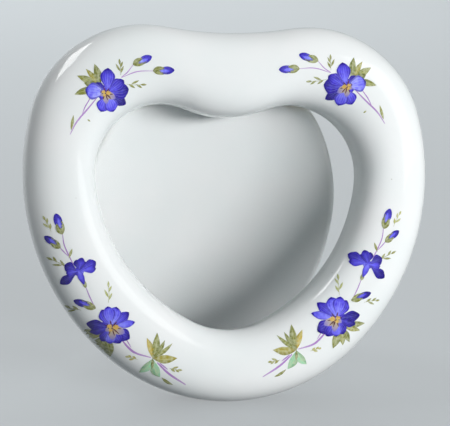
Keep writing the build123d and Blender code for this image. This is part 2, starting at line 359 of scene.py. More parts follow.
class Spray:
    """One spray's place on the ring: its main flower's centre, its hand, its turn and its flowers' size."""

    def __init__(self, x, y, hand, turn, bloom=1.0):
        self.centre = Vector((x * mm, y * mm))
        self.hand = hand
        self.turn = Matrix.Rotation(math.radians(turn), 2)
        self.bloom = bloom

    def spot(self, point):
        """Place a point of the drawing on the ring's plane."""
        turned = self.turn @ Vector((point.x * mm, point.y * mm))
        return self.centre + Vector((self.hand * turned.x, turned.y))

    def blade(self, colour, base, tip, width, tone, layer, widest=0.5, bluntness=0.9, bend=0.0, ruffle=0.0):
        """Draw a petal or leaf from base to tip, as wide as width at the fraction called widest."""
        start = Vector(base)
        run = Vector(tip) - start
        side = Vector((-run.y, run.x)).normalized()
        power = math.log(0.5) / math.log(widest)
        frills = 5
        along_steps = 16
        across_steps = 14
        rows = []
        for i in range(along_steps + 1):
            along = 0.5 - 0.5 * math.cos(math.pi * i / along_steps)
            half = width / 2 * max(math.sin(math.pi * along**power), 0.0)**bluntness
            row = []
            for j in range(across_steps + 1):
                across = 2 * j / across_steps - 1
                reach = along * (1 + ruffle * along**3 * math.cos(frills * math.pi * across))
                sway = bend * run.length * along * (1 - along) * 4
                row.append(self.spot(start + run * reach + side * (half * across + sway)))
            rows.append(row)
        draw_grid(colour, rows, tone, layer)

    def stroke(self, colour, points, width, tone, layer=0):
        """Draw a brush stroke on a smooth line through points, thinner at both its ends."""
        through = [Vector(point) for point in points]
        through = [2 * through[0] - through[1]] + through + [2 * through[-1] - through[-2]]
        path = []
        steps = 8
        for k in range(1, len(through) - 2):
            a, b, c, d = through[k - 1:k + 3]
            for i in range(steps + (k == len(through) - 3)):
                t = i / steps
                path.append(0.5 * (2 * b + (c - a) * t + (2 * a - 5 * b + 4 * c - d) * t * t
                                   + (3 * b - a - 3 * c + d) * t**3))
        end_share = 0.4
        belly_share = 0.42
        rows = []
        for i, point in enumerate(path):
            run = path[min(i + 1, len(path) - 1)] - path[max(i - 1, 0)]
            side = Vector((-run.y, run.x)).normalized()
            half = width / 2 * (end_share + belly_share * math.sin(math.pi * i / (len(path) - 1)))
            rows.append([self.spot(point + side * half * across) for across in (-1, 0, 1)])
        draw_grid(colour, rows, tone, layer)

    def flower(self, hub, petals, widest=0.66, start=0.7):
        """Draw a flower's frilled petals about its hub: each one's angle, length, width, tone and layer."""
        middle = Vector(hub)
        for angle, length, width, tone, layer in petals:
            way = heading(angle)
            tip = middle + way * length * self.bloom
            self.blade("petals", middle + way * start, tip, width * self.bloom, tone, layer, widest,
                       bluntness=0.62, ruffle=0.05)

    def bud(self, base, tip, width, tone):
        """Draw a closed bud: a dark petal with a pale fold, held by two green sepals."""
        start = Vector(base)
        end = Vector(tip)
        side = Vector((-(end - start).y, (end - start).x)).normalized() * width * 0.2
        fold_end = start.lerp(end, 0.8) + side * 0.6
        long_sepal = start.lerp(end, 0.7) + side * 1.7
        short_sepal = start.lerp(end, 0.56) - side * 1.5
        self.blade("petals", start.lerp(end, 0.2), end, width, tone, 2, widest=0.56, bluntness=0.6)
        self.blade("petals", start.lerp(end, 0.28), fold_end, width * 0.46, tone - 0.55, 3, widest=0.55,
                   bluntness=0.8)
        self.blade("leaves", start, long_sepal, width * 0.56, 0.3, 4, widest=0.4, bluntness=0.95, bend=0.05)
        self.blade("leaves", start, short_sepal, width * 0.66, 0.1, 5, widest=0.42, bend=-0.05)

    def twig(self, base, tip, spread, tone):
        """Draw a fine twig with four slender leaves."""
        start = Vector(base)
        end = Vector(tip)
        run = end - start
        side = Vector((-run.y, run.x)).normalized() * spread
        self.stroke("leaves", (start, start.lerp(end, 0.5) + side * 0.12, end), 0.18, tone)
        for share, hand, size in ((0.15, 1, 0.9), (0.3, -1, 1.0), (0.6, 1, 0.8), (0.85, 0, 0.8)):
            root = start.lerp(end, share)
            leaf_end = root + run.normalized() * spread * 1.7 * size + side * hand * 0.85 * size
            self.blade("leaves", root, leaf_end, 0.66, tone, 1, bluntness=0.95)

    def eye(self, hub, size):
        """Draw a flower's eye: a straw-coloured stain, dark lines running out of it and ochre anthers."""
        middle = Vector(hub)
        # Each kind of mark has a tone and a layer
        stain, line, anther, dot = ((0.0, 9), (0.8, 10), (0.34, 11), (1.0, 12))
        for angle, reach, width in ((205, 1.5, 0.85), (262, 1.4, 0.75), (330, 0.75, 0.5)):
            end = middle + heading(angle) * size * reach
            self.blade("centres", middle, end, width * size, *stain, bluntness=0.8)
        for angle, reach in ((20, 0.7), (75, 0.75), (130, 0.75), (190, 0.95), (222, 1.0), (250, 0.9),
                             (290, 0.85)):
            way = heading(angle) * size
            points = [middle + way * share for share in (0.1, reach * 0.6, reach)]
            self.stroke("centres", points, 0.42, *line)
        for dx, dy, wide in ((-0.4, 0.02, 0.6), (0.22, 0.12, 0.5), (0.1, -0.26, 0.4)):
            left = middle + Vector((dx - wide / 2, dy)) * size
            right = middle + Vector((dx + wide / 2, dy)) * size
            self.blade("centres", left, right, wide * size * 0.85, *anther, bluntness=0.5)
        for dx, dy in ((-0.1, 0.26), (0.4, 0.34), (0.48, 0.02), (-0.06, -0.08), (0.26, -0.08),
                       (-0.55, 0.3)):
            left = middle + Vector((dx, dy)) * size
            self.blade("centres", left, left + Vector((0.36, 0.06)), 0.3, *dot, bluntness=0.5)


def draw_upper_spray(place):
    """Draw an upper spray: one open flower, two buds reaching inwards and a stem that trails outwards."""
    for tip, width, tone in (((9.3, 5.4), 2.3, 0.28), ((3.9, 9.2), 2.3, 0.05), ((10.3, -0.5), 2.2, 0.2),
                             ((7.2, 3.2), 2.5, 0.0), ((6.6, 7.6), 1.7, 0.42)):
        place.blade("leaves", (2.4, 1.4), tip, width, tone, 1, widest=0.56, bluntness=1.0, bend=0.05)
    place.blade("leaves", (11.4, -11.6), (10.6, -6.9), 0.9, 0.3, 1)
    for points, width, tone in ((((3.2, -1.4), (6.2, -5.0), (9.6, -9.0), (11.7, -12.9)), 0.62, 0.5),
                                (((4.9, -0.9), (6.9, -4.2), (8.0, -7.0)), 0.42, 0.2),
                                (((-4.4, 5.0), (-6.4, 6.6), (-8.4, 9.2)), 0.4, 0.7),
                                (((-4.6, 5.0), (-9.6, 6.9), (-14.9, 7.2)), 0.4, 0.7)):
        place.stroke("stems", points, width, tone)
    place.bud((-8.2, 9.0), (-14.2, 11.7), 2.5, 0.62)
    place.bud((-14.6, 7.2), (-21.4, 7.5), 2.5, 0.7)
    place.twig((-4.3, 5.7), (-4.0, 9.4), 1.5, 0.2)
    place.twig((-6.0, 3.0), (-11.6, 2.9), 1.5, 0.25)
    place.blade("leaves", (6.2, -8.2), (5.2, -8.8), 0.5, 0.3, 0)
    place.blade("petals", (-3.0, 0.0), (3.0, 0.0), 5.6, 0.45, 1, bluntness=0.5)
    place.flower((0.0, 0.0), ((206, 6.9, 3.3, 0.98, 2), (168, 6.9, 5.4, 0.8, 3), (142, 6.5, 4.2, 0.66, 4),
                              (92, 7.6, 4.7, 0.5, 5), (8, 6.7, 5.4, 0.06, 6), (40, 4.8, 2.6, 0.85, 4),
                              (-72, 5.8, 4.4, 0.42, 7), (-112, 5.8, 4.6, 0.3, 8)))
    place.eye((0.6, 0.1), 2.5)


def draw_lower_spray(place):
    """Draw a lower spray: a large and a nodding flower, three buds, and a tuft of leaves at its foot."""
    for points, width, tone in ((((15.2, 29.2), (14.6, 25.6), (12.6, 21.2), (11.6, 19.5)), 0.46, 0.6),
                                (((16.0, 25.0), (14.8, 23.7), (13.4, 22.2)), 0.4, 0.6),
                                (((8.0, 12.8), (6.6, 9.4), (4.9, 6.1)), 0.42, 0.5),
                                (((-3.0, -3.4), (-5.6, -6.4), (-8.0, -8.2), (-12.6, -9.6)), 0.8, 0.4),
                                (((-4.6, -3.4), (-6.4, -6.4)), 0.4, 0.8),
                                (((-14.6, -11.2), (-18.6, -14.9), (-24.0, -18.4)), 0.78, 0.5),
                                (((-15.4, -11.4), (-18.0, -13.4)), 0.5, 0.2)):
        place.stroke("stems", points, width, tone)
    place.bud((15.2, 29.0), (17.3, 35.5), 2.5, 0.74)
    place.bud((15.7, 24.8), (20.4, 28.5), 2.1, 0.88)
    place.bud((4.7, 6.0), (11.3, 8.5), 2.2, 0.95)
    hub = (10.2, 17.6)
    place.blade("petals", (8.6, 17.2), (11.8, 17.6), 2.6, 0.5, 1, bluntness=0.5)
    place.flower(hub, ((104, 4.5, 2.7, 0.7, 2), (78, 3.8, 2.4, 0.9, 1), (152, 6.4, 3.7, 0.7, 3),
                       (172, 5.7, 2.6, 0.5, 4), (24, 4.8, 3.6, 0.9, 3), (-38, 6.8, 3.3, 0.95, 2),
                       (-10, 3.9, 2.6, 0.55, 4), (128, 3.8, 2.2, 0.95, 1)), widest=0.74, start=0.2)
    place.blade("petals", hub, (8.4, 13.4), 1.9, 0.5, 5, widest=0.4, bluntness=0.7)
    place.blade("leaves", (7.9, 12.4), (8.9, 15.2), 1.2, 0.1, 6, widest=0.4, bluntness=0.8)
    for tip, width, tone in (((-0.9, -9.4), 2.9, 0.15), ((2.6, -8.4), 2.3, 0.32), ((5.0, -7.4), 2.1, 0.1),
                             ((9.9, -1.3), 2.0, 0.12), ((8.4, -3.6), 1.8, 0.36)):
        place.blade("leaves", (1.6, -2.2), tip, width, tone, 1, widest=0.56, bluntness=1.0)
    place.blade("petals", (-3.2, 0.0), (3.2, 0.0), 6.0, 0.5, 1, bluntness=0.5)
    place.flower((0.0, 0.0), ((10, 7.6, 3.6, 1.0, 2), (-14, 6.4, 3.0, 0.9, 2), (140, 7.6, 3.5, 0.62, 3),
                              (168, 8.0, 2.6, 0.2, 4), (62, 6.6, 4.0, 0.5, 4), (104, 6.9, 5.0, 0.22, 5),
                              (80, 7.0, 4.4, 0.3, 6), (212, 7.2, 4.6, 0.84, 6), (238, 6.2, 4.2, 0.7, 7),
                              (268, 5.4, 3.8, 0.16, 8), (-62, 5.2, 3.6, 0.75, 7)))
    place.eye((-0.3, 0.0), 3.0)
    tuft = (-13.2, -9.9)
    for tip, width, tone in (((-11.2, -3.4), 1.9, 0.62), ((-14.5, -1.8), 2.3, 0.18),
                             ((-17.0, -4.2), 1.5, 0.1), ((-19.4, -5.2), 1.3, 0.24),
                             ((-20.9, -9.9), 2.7, 0.46)):
        place.blade("leaves", tuft, tip, width, tone, 2, bluntness=1.0, bend=0.04)
    place.blade("leaves", tuft, (-9.6, -14.4), 2.5, 0.97, 3, widest=0.55, bluntness=0.95, bend=-0.1)
    place.blade("leaves", tuft, (-15.9, -15.9), 2.7, 0.9, 3, widest=0.55, bluntness=0.95, bend=0.1)
    place.blade("leaves", tuft, (-13.2, -13.2), 0.9, 0.05, 4, bluntness=0.95)
    place.twig((18.5, 29.8), (20.6, 34.0), 1.2, 0.72)
    place.twig((13.6, 18.6), (18.6, 21.4), 1.5, 0.25)
    place.twig((0.9, 7.6), (0.9, 13.2), 1.5, 0.73)
    place.twig((9.0, 5.4), (13.6, 6.0), 1.3, 0.22)
    place.twig((-18.4, -13.0), (-21.6, -13.6), 1.1, 0.35)
    place.twig((-8.6, -10.2), (-5.6, -9.4), 0.9, 0.7)
    place.blade("leaves", (-16.4, -16.0), (-20.2, -18.4), 0.9, 0.15, 0, bend=0.06)
    place.blade("leaves", (13.2, 21.6), (12.2, 24.6), 0.8, 0.28, 0)


draw_upper_spray(Spray(-40.9, 97.5, -1, 0))
draw_upper_spray(Spray(36.4, 100.4, 1, 6))
draw_lower_spray(Spray(-39.8, 24.6, -1, 0, 0.92))
draw_lower_spray(Spray(33.1, 26.3, 1, -1))


def new_enamel(name):
    """Start an enamel: its material, tree and spots, the places along and across a print, and its tone."""
    material, tree, spots = new_material(name)
    print_map = put(tree, "ShaderNodeUVMap", uv_map="UVMap")
    along, across, _ = put(tree, "ShaderNodeSeparateXYZ", {0: print_map}).outputs
    tone = put(tree, "ShaderNodeAttribute", attribute_name="tone").outputs["Fac"]
    return material, tree, spots, along, across, tone


def fire_enamel(tree, colour, *washes):
    """Lay washes over an enamel's colour and fire it to a gloss that is a shade softer than the glaze.

    A wash is an sRGB hex colour, its full strength, the value that it follows, the values at which it
    starts and is full, and maybe another value that limits it.
    """
    for wash, strength, value, start, full, *limits in washes:
        share = put(tree, "ShaderNodeMapRange", {"Value": value, "From Min": start, "From Max": full,
                                                 "To Max": strength})
        for limit in limits:
            share = put(tree, "ShaderNodeMath", {0: share, 1: limit}, operation="MULTIPLY")
        mixed = put(tree, "ShaderNodeMix", {0: share, 6: colour, 7: linear(wash)}, data_type="RGBA")
        colour = mixed.outputs[2]
    shader = put(tree, "ShaderNodeBsdfPrincipled", {"Base Color": colour, "IOR": 1.52, "Roughness": 0.2})
    put(tree, "ShaderNodeOutputMaterial", {"Surface": shader})


# Violet enamel: transparent blue-violet printed in dots over a pale tint, so a petal runs from
# lavender at its root to nearly navy at its rim, with pale veins and a streak of light down its middle.
vein_count = 6
petal_enamel, tree, spots, along, across, tone = new_enamel("violet overglaze enamel")
mottle = put(tree, "ShaderNodeTexNoise", {"Vector": spots, "Scale": 1 / (1.1 * mm), "Detail": 2.0})
uneven = put(tree, "ShaderNodeMath", {0: mottle, 1: 0.6, 2: -0.42}, operation="MULTIPLY_ADD")
deeper = put(tree, "ShaderNodeMath", {0: along, 1: 0.45, 2: uneven}, operation="MULTIPLY_ADD")
shade = put(tree, "ShaderNodeMath", {0: tone, 1: 0.8, 2: deeper}, operation="MULTIPLY_ADD")
violet = put(tree, "ShaderNodeValToRGB", {"Fac": shade})
set_ramp(violet, (0.0, "#AEB5FF"), (0.22, "#7674FA"), (0.48, "#4F41E4"), (0.75, "#3524B2"),
         (1.0, "#1F0E78"))
off_middle = put(tree, "ShaderNodeMath", {0: across, 1: 0.5}, operation="SUBTRACT")
off_middle = put(tree, "ShaderNodeMath", {0: off_middle}, operation="ABSOLUTE")
pale_only = put(tree, "ShaderNodeMapRange", {"Value": tone, "From Min": 0.95, "From Max": 0.1,
                                             "To Min": 0.3})
inner_part = put(tree, "ShaderNodeMapRange", {"Value": along, "From Min": 0.85, "From Max": 0.3})
pale_part = put(tree, "ShaderNodeMath", {0: pale_only, 1: inner_part}, operation="MULTIPLY")
veins = put(tree, "ShaderNodeMath", {0: across, 1: 2 * math.pi * vein_count}, operation="MULTIPLY")
veins = put(tree, "ShaderNodeMath", {0: veins}, operation="COSINE")
fire_enamel(tree, violet, ("#271294", 0.85, off_middle, 0.33, 0.5), ("#271294", 0.85, along, 0.8, 1.0),
            ("#C4C9FF", 0.5, veins, 0.2, 1.0, pale_part),
            ("#8F94FF", 0.55, off_middle, 0.2, 0.02, pale_part))

# Green enamels: thin washes from olive through yellow to mint, each leaf darker on one half and at its
# root, with a paler midrib.
leaf_enamel, tree, spots, along, across, tone = new_enamel("olive, yellow and mint overglaze enamel")
mottle = put(tree, "ShaderNodeTexNoise", {"Vector": spots, "Scale": 1 / (0.9 * mm), "Detail": 2.0})
green = put(tree, "ShaderNodeValToRGB", {"Fac": tone})
set_ramp(green, (0.0, "#6C7430"), (0.3, "#8F9240"), (0.5, "#A99C38"), (0.65, "#CDB13C"),
         (0.85, "#8CCBA2"), (1.0, "#A3DDB8"))
off_middle = put(tree, "ShaderNodeMath", {0: across, 1: 0.5}, operation="SUBTRACT")
off_rib = put(tree, "ShaderNodeMath", {0: off_middle}, operation="ABSOLUTE")
fire_enamel(tree, green, ("#5E6A30", 0.42, off_middle, -0.02, 0.3), ("#D8D79A", 0.4, off_rib, 0.07, 0.03),
            ("#5B5A24", 0.5, along, 0.4, 0.0), ("#D2D6B6", 0.55, mottle, 0.36, 0.68))

# Pink-violet enamel of the stems: a thin line that fades towards its end.
stem_enamel, tree, spots, along, across, tone = new_enamel("pink-violet overglaze enamel")
fire_enamel(tree, linear("#A676C4"), ("#BC98D0", 1.0, tone, 0.0, 1.0), ("#D7C6DE", 0.45, along, 0.55, 1.0))

# Ochre and red-brown enamels of the flowers' eyes, whose stain fades into the petals.
eye_enamel, tree, spots, along, across, tone = new_enamel("ochre and brown overglaze enamel")
mottle = put(tree, "ShaderNodeTexNoise", {"Vector": spots, "Scale": 1 / (0.5 * mm), "Detail": 1.0})
uneven = put(tree, "ShaderNodeMath", {0: mottle, 1: 0.5, 2: -0.25}, operation="MULTIPLY_ADD")
shade = put(tree, "ShaderNodeMath", {0: tone, 1: uneven}, operation="ADD")
ochre = put(tree, "ShaderNodeValToRGB", {"Fac": shade})
set_ramp(ochre, (0.0, "#B9AC93"), (0.15, "#DCC68E"), (0.35, "#D4AE58"), (0.7, "#6E2E3C"), (1.0, "#2C143A"))
stain_only = put(tree, "ShaderNodeMapRange", {"Value": tone, "From Min": 0.2, "From Max": 0.0})
fire_enamel(tree, ochre, ("#6A64D8", 0.9, along, 0.4, 0.9, stain_only))


def new_geometry_tree(name, inputs):
    """Start a geometry tree with named inputs of given kinds, and give it with their sockets."""
    tree = bpy.data.node_groups.new(name, "GeometryNodeTree")
    for title, kind in inputs.items():
        tree.interface.new_socket(title, in_out="INPUT", socket_type="NodeSocket" + kind)
    tree.interface.new_socket("Made", in_out="OUTPUT", socket_type="NodeSocketGeometry")
    return tree, put(tree, "NodeGroupInput").outputs


def end_geometry_tree(tree, geometry, material):
    """End a geometry tree: realise what it placed, give it its material and hand it out."""
    realised = put(tree, "GeometryNodeRealizeInstances", {"Geometry": geometry})
    coated = put(tree, "GeometryNodeSetMaterial", {"Geometry": realised, "Material": material})
    put(tree, "NodeGroupOutput", {0: coated})


def grown(name, mesh, tree, inputs):
    """Run a geometry tree on a mesh, with its inputs given by name, and give the plain mesh."""
    sockets = {item.name: item.identifier for item in tree.interface.items_tree if item.in_out == "INPUT"}
    values = {sockets[title]: value for title, value in inputs.items()}
    return applied(name, mesh, "NODES", values, node_group=tree)


# The tree that lays a flat drawing on the ring, square to the ring's plane, a hair above the glaze.
laying, given = new_geometry_tree("lay enamel on the glaze", {
    "Drawing": "Geometry", "Ring": "Object", "Direction": "Vector", "Reach": "Float", "Lift": "Float",
    "Layer Step": "Float", "Enamel": "Material"})
ring_shape = put(laying, "GeometryNodeObjectInfo", {"Object": given["Ring"]}).outputs["Geometry"]
hit = put(laying, "GeometryNodeRaycast", {"Target Geometry": ring_shape, "Ray Length": given["Reach"],
                                          "Ray Direction": given["Direction"]}).outputs
order = put(laying, "GeometryNodeInputNamedAttribute", {"Name": "layer"}, data_type="FLOAT")
height = put(laying, "ShaderNodeMath", {0: order, 1: given["Layer Step"], 2: given["Lift"]},
             operation="MULTIPLY_ADD")
rise = put(laying, "ShaderNodeVectorMath", {0: hit["Hit Normal"], "Scale": height}, operation="SCALE")
place = put(laying, "ShaderNodeVectorMath", {0: hit["Hit Position"], 1: rise}, operation="ADD")
missed = put(laying, "FunctionNodeBooleanMath", {0: hit["Is Hit"]}, operation="NOT")
trimmed = put(laying, "GeometryNodeDeleteGeometry", {"Geometry": given["Drawing"], "Selection": missed},
              domain="POINT")
laid = put(laying, "GeometryNodeSetPosition", {"Geometry": trimmed, "Position": place})
end_geometry_tree(laying, laid, given["Enamel"])

ring_inward = ring_place.to_3x3() @ Vector((0, 0, -1))
enamels = {"stems": stem_enamel, "leaves": leaf_enamel, "petals": petal_enamel, "centres": eye_enamel}
for colour, enamel in enamels.items():
    drawing = drawings[colour]
    bmesh.ops.transform(drawing, matrix=ring_place, verts=drawing.verts)
    spray_mesh = grown("spray_" + colour, mesh_of(drawing, "flat_" + colour), laying, {
        "Ring": ring, "Direction": ring_inward, "Reach": 100 * mm, "Layer Step": enamel_layer,
        "Lift": enamel_lift + enamel_layer * first_layer[colour], "Enamel": enamel})
    new_piece("spray_" + colour, spray_mesh, enamel, rides="frame")

# Cover sheet
# A clear acrylic sheet, cut to the window's heart with polished edges. It drops into the rabbet at the
# ring's back, half a millimetre deeper than the back, and keeps dust off the print.
cover_thickness = 1.5 * mm
cover_rise = 1.25 * mm
cover_grow = 3.6 * mm
cover_edge = 0.2 * mm


def plate(name, outline, thickness, edge, edge_steps=5):
    """Give the form of a flat plate with rounded edges, halfway through at Z = 0."""
    curve = bpy.data.curves.new(name, "CURVE")
    curve.dimensions = "2D"
    curve.fill_mode = "BOTH"
    curve.extrude = thickness / 2 - edge
    curve.bevel_depth = edge
    curve.bevel_resolution = edge_steps
    curve.offset = -edge
    spline = curve.splines.new("POLY")
    spline.points.add(len(outline) - 1)
    for spot, point in zip(spline.points, outline):
        spot.co = (point.x, point.y, 0, 1)
    spline.use_cyclic_u = True
    flat = bmesh.new()
    flat.from_mesh(applied(name, curve))
    bpy.data.curves.remove(curve)
    bmesh.ops.remove_doubles(flat, verts=flat.verts, dist=same_point)
    bmesh.ops.recalc_face_normals(flat, faces=flat.faces)
    return flat


# Clear acrylic, coated against reflections: all but a hundredth of the light goes straight through, and
# more is mirrored at a glancing angle. Wiping has left faint smears about 15 mm long.
clear_acrylic, tree, spots = new_material("clear acrylic sheet, polished")
wiping = put(tree, "ShaderNodeMapping", {"Vector": spots,
                                         "Scale": (1 / (4 * mm), 1 / (15 * mm), 1 / (15 * mm))})
smears = put(tree, "ShaderNodeTexNoise", {"Vector": wiping, "Scale": 1.0, "Detail": 3.0})
smear_share = put(tree, "ShaderNodeMapRange", {"Value": smears, "From Min": 0.5, "From Max": 0.9,
                                               "To Min": 0.005, "To Max": 0.012})
glancing = put(tree, "ShaderNodeLayerWeight", {"Blend": 0.5}).outputs["Facing"]
steep = put(tree, "ShaderNodeMath", {0: glancing, 1: 5.0}, operation="POWER")
mirrored = put(tree, "ShaderNodeMath", {0: steep, 1: smear_share}, operation="ADD", use_clamp=True)
clear = put(tree, "ShaderNodeBsdfTransparent")
mirror = put(tree, "ShaderNodeBsdfGlossy", {"Color": linear("#F4F6F6"), "Roughness": 0.04})
shader = put(tree, "ShaderNodeMixShader", {0: mirrored, 1: clear, 2: mirror})
put(tree, "ShaderNodeOutputMaterial", {"Surface": shader})

cover_outline, _ = heart_outline(**window_heart, grow=cover_grow)
form = plate("cover_sheet_clear", cover_outline, cover_thickness, cover_edge, 2)
bmesh.ops.transform(form, matrix=ring_place @ Matrix.Translation((0, 0, cover_rise)), verts=form.verts)
new_piece("cover_sheet_clear", mesh_of(form, "cover_sheet_clear"), clear_acrylic, rides="frame",
          replaces="cover_sheet")

# Turn buttons
# Four small brass bars with round ends, stamped from sheet and tumbled so that their edges are soft.
# Each turns on its stud at the ring's back, and its tip holds the cover in the rabbet.
button_edge = 0.22 * mm


def softened(node, width, segments=3):
    """Copy a node's mesh, merge its triangles and round its sharp edges."""
    form = bmesh.new()
    form.from_mesh(frame["nodes"][node].data)
    bmesh.ops.remove_doubles(form, verts=form.verts, dist=10 * same_point)
    bmesh.ops.dissolve_limit(form, angle_limit=math.radians(1), verts=form.verts, edges=form.edges)
    return applied(node, mesh_of(form, node), "BEVEL", width=width, segments=segments, limit_method="ANGLE",
                   angle_limit=math.radians(40))


# Satin brass: warm yellow metal with a fine grain along the sheet, drawn coarser than real so that it
# shows, and thin brown tarnish in patches of about 3 mm.
satin_brass, tree, spots = new_material("satin brass, lightly tarnished")
rolled = put(tree, "ShaderNodeMapping", {"Vector": spots,
                                         "Scale": (1 / (6 * mm), 1 / (0.3 * mm), 1 / (0.3 * mm))})
grain = put(tree, "ShaderNodeTexNoise", {"Vector": rolled, "Scale": 1.0, "Detail": 3.0})
patches = put(tree, "ShaderNodeTexNoise", {"Vector": spots, "Scale": 1 / (3 * mm), "Detail": 3.0})
metal = put(tree, "ShaderNodeValToRGB", {"Fac": patches})
set_ramp(metal, (0.35, "#E8CF8E"), (0.62, "#DEBF78"), (0.8, "#C9A766"))
dull = put(tree, "ShaderNodeMapRange", {"Value": grain, "To Min": 0.26, "To Max": 0.4})
grain_bump = put(tree, "ShaderNodeBump", {"Height": grain, "Strength": 0.15, "Distance": 0.04 * mm})
shader = put(tree, "ShaderNodeBsdfPrincipled", {"Base Color": metal, "Metallic": 1.0, "Roughness": dull,
                                                "Normal": grain_bump})
put(tree, "ShaderNodeOutputMaterial", {"Surface": shader})

for place in ("upper_left", "upper_right", "lower_left", "lower_right"):
    new_piece("turn_button_brass_" + place, softened("turn_button_" + place, button_edge), satin_brass,
              rides="button_" + place, replaces="turn_button_" + place)

# Button studs
# Four headed brass studs, turned from rod, with a slot sawn across each low domed head. Their shanks are
# cemented into sockets in the ring, and the buttons turn freely under the heads.
stud_radius = 1.2 * mm
stud_depth = 3.4 * mm
stud_head_radius = 2.4 * mm
stud_head_start = 1.4 * mm
stud_head_height = 0.9 * mm
stud_head_edge = 0.12 * mm
stud_rim_share = 0.35
stud_slot_half = 0.28 * mm
stud_slot_depth = 0.4 * mm


def turned_stud():
    """Turn one stud about its axis from the ring's back outwards, with a dome and a slot."""
    top = stud_head_start + stud_head_height
    rim = stud_head_start + stud_rim_share * stud_head_height
    profile = [(0.0, -stud_depth), (stud_radius, -stud_depth), (stud_radius, stud_head_start),
               (stud_head_radius - stud_head_edge, stud_head_start),
               (stud_head_radius, stud_head_start + stud_head_edge), (stud_head_radius, rim)]
    dome_steps = 8
    for k in range(1, dome_steps):
        angle = math.pi / 2 * k / dome_steps
        profile.append((stud_head_radius * math.cos(angle), rim + (top - rim) * math.sin(angle)))
    profile.append((0.0, top))
    form = bmesh.new()
    line = [form.verts.new((x, 0, z)) for x, z in profile]
    edges = [form.edges.new((line[k], line[k + 1])) for k in range(len(line) - 1)]
    bmesh.ops.spin(form, geom=line + edges, cent=(0, 0, 0), axis=(0, 0, 1), steps=40, angle=2 * math.pi)
    bmesh.ops.remove_doubles(form, verts=form.verts, dist=same_point)
    bmesh.ops.recalc_face_normals(form, faces=form.faces)
    saw = bmesh.new()
    saw_size = (4 * stud_head_radius, 2 * stud_slot_half, 2 * stud_head_height, 1)
    saw_place = Matrix.Translation((0, 0, top - stud_slot_depth + stud_head_height))
    bmesh.ops.create_cube(saw, size=1.0, matrix=saw_place @ Matrix.Diagonal(saw_size))
    return combine(mesh_of(form, "stud"), mesh_of(saw, "saw"), "DIFFERENCE")


# The tree that sets a stud in each socket, its slot turned as it happened to be sawn.
setting, given = new_geometry_tree("set studs in the ring", {
    "Sockets": "Geometry", "Stud": "Object", "Facing": "Rotation", "Metal": "Material"})
one_stud = put(setting, "GeometryNodeObjectInfo", {"Object": given["Stud"]}).outputs["Geometry"]
sawn = put(setting, "FunctionNodeRandomValue", {"Min": 0.0, "Max": math.pi, "Seed": 5},
           data_type="FLOAT").outputs[1]
about_axis = put(setting, "FunctionNodeAxisAngleToRotation", {"Axis": (0, 0, 1), "Angle": sawn})
turned = put(setting, "FunctionNodeRotateRotation", {"Rotation": given["Facing"], "Rotate By": about_axis},
             rotation_space="LOCAL")
placed = put(setting, "GeometryNodeInstanceOnPoints", {"Points": given["Sockets"], "Instance": one_stud,
                                                       "Rotation": turned})
end_geometry_tree(setting, placed, given["Metal"])

sockets = [joint["pos_m"] for joint in frame["joints"] if joint["name"].startswith("turn_")]
socket_mesh = bpy.data.meshes.new("stud_sockets")
socket_mesh.from_pydata(sockets, [], [])
stud_pattern = bpy.data.objects.new("stud_pattern", turned_stud())
stud_pattern.data.materials.append(satin_brass)
bpy.context.scene.collection.objects.link(stud_pattern)
back_facing = (ring_place.to_3x3() @ Matrix.Rotation(math.pi, 3, "X")).to_euler()
stud_mesh = grown("button_studs_brass", socket_mesh, setting, {
    "Stud": stud_pattern, "Facing": back_facing, "Metal": satin_brass})
bpy.data.objects.remove(stud_pattern)
new_piece("button_studs_brass", stud_mesh, satin_brass, rides="frame",
          replaces="button_studs")

# Hinge brackets
# A pair of brass castings, each an ear with a hole for the pin on a small plate. Two pegs behind each
# plate are cemented into the ring's back.
bracket_edge = 0.3 * mm
for hand in ("left", "right"):
    new_piece("hinge_bracket_brass_" + hand, softened("hinge_bracket_" + hand, bracket_edge), satin_brass,
              rides="frame", replaces="hinge_bracket_" + hand)

# Easel leg
# A concave oval plate of the same porcelain that holds the frame up from behind. It is press-moulded
# with a bored barrel across its back, glazed all over, and its lower end is ground flat.
leg_lean = math.radians(15)
leg_half = 43.5 * mm
leg_widest_drop = 45.0 * mm
leg_heel = 10.59 * mm
leg_lower = 66.0 * mm
leg_thickness = 4.5 * mm
leg_edge = 2.0 * mm
leg_hollow = 140.0 * mm
leg_face = 1.5 * mm
barrel_half = 21.0 * mm
barrel_radius = 4.0 * mm
notch_drop = 5.4 * mm
bore_radius = 1.56 * mm
outline_step = 0.7 * mm
corner_easing = 30
bend_strips = 80

hinge = Vector([joint["pos_m"] for joint in frame["joints"] if joint["name"] == "leg_fold"][0])
leg_sine = math.sin(leg_lean)
leg_cosine = math.cos(leg_lean)
leg_place = Matrix(((1, 0, 0, hinge.x), (0, -leg_sine, -leg_cosine, hinge.y),
                    (0, leg_cosine, -leg_sine, hinge.z), (0, 0, 0, 1)))


